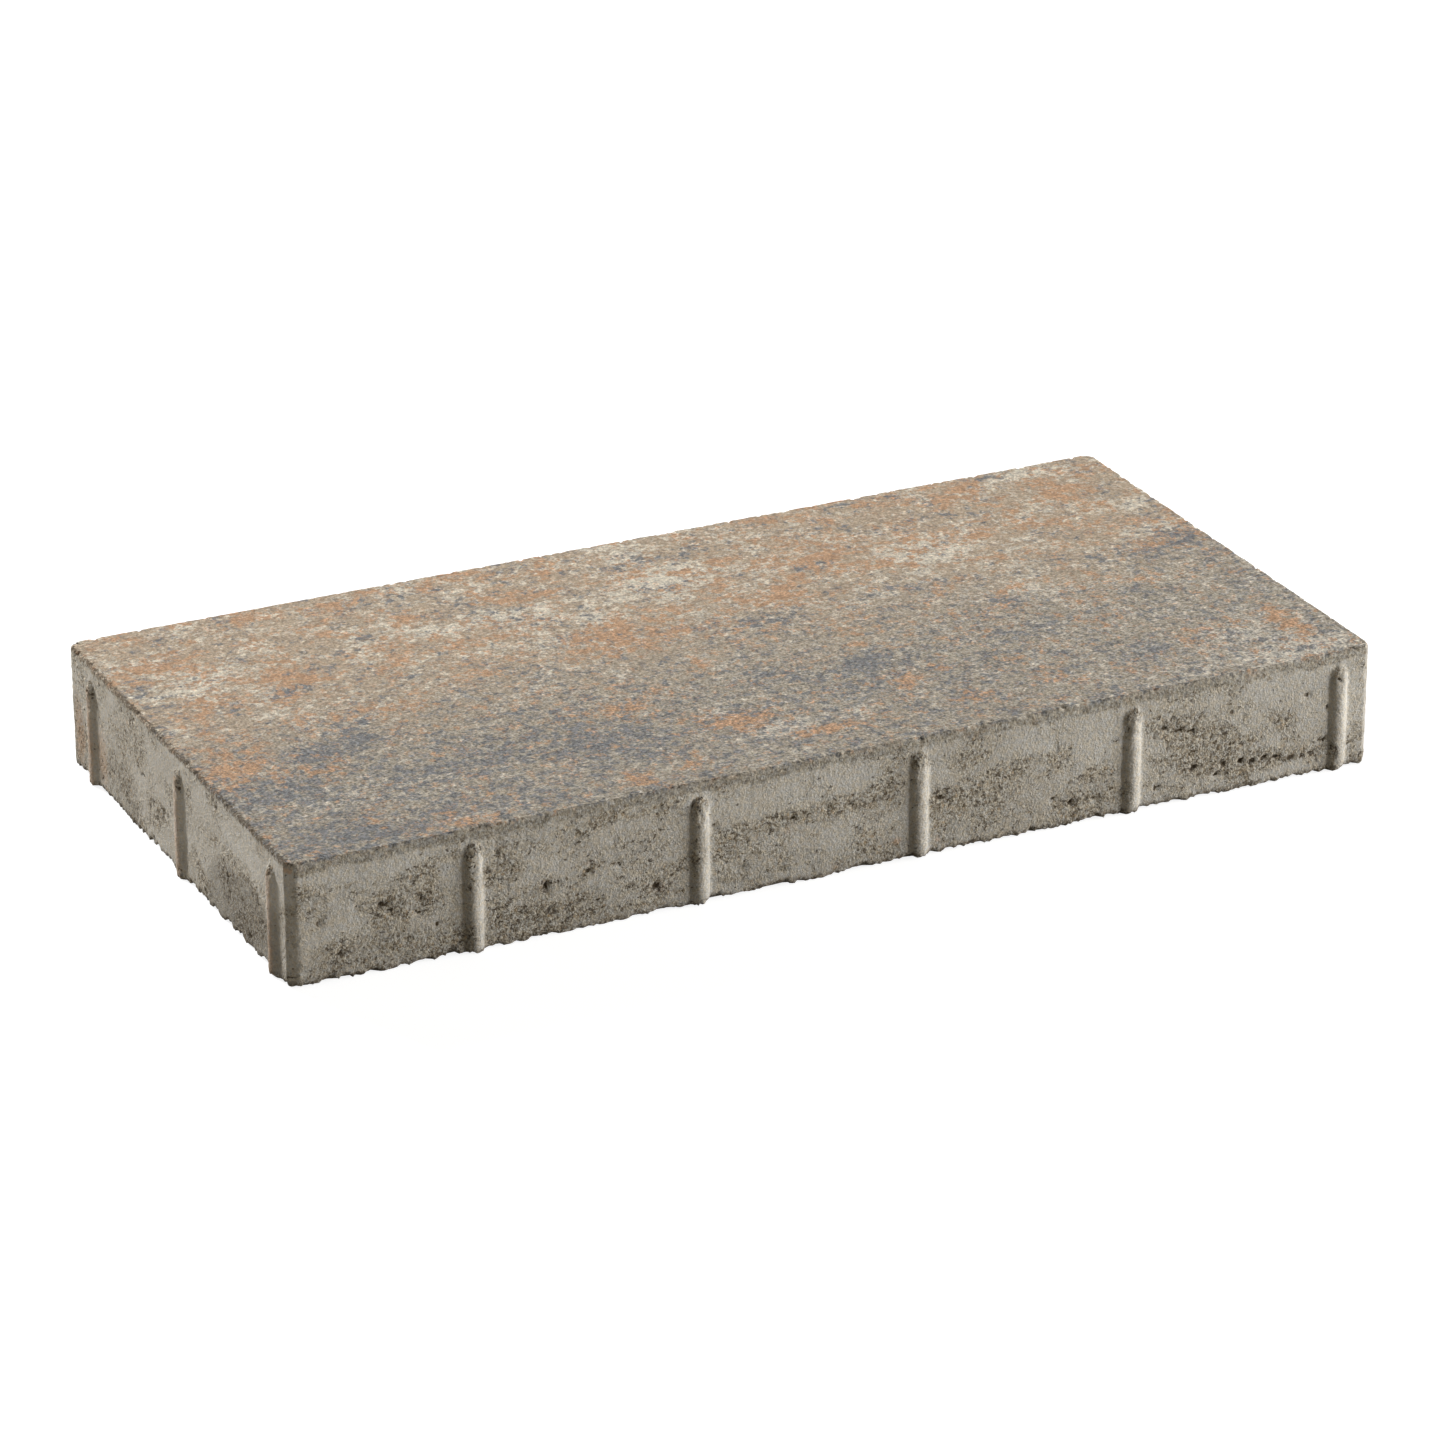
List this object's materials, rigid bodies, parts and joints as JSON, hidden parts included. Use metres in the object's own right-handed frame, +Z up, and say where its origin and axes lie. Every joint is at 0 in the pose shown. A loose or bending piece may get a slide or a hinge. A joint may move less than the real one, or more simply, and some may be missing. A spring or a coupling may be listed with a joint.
{
  "type": "concrete paver",
  "caption": "Large rectangular pressed concrete paving slab with clipped upright corners, half-round spacer ribs on every side and a blended multicolour wearing face.",
  "frame": {"origin": "middle of the underside, on the bed it is laid on", "axes": "+X along the long side, +Y along the short side, +Z up through the thickness to the wearing face"},
  "size_m": [0.6026, 0.3026, 0.066],
  "materials": {
    "concrete": "matte"
  },
  "bodies": {
    "root": {"paver": "concrete"}
  },
  "joints": []
}
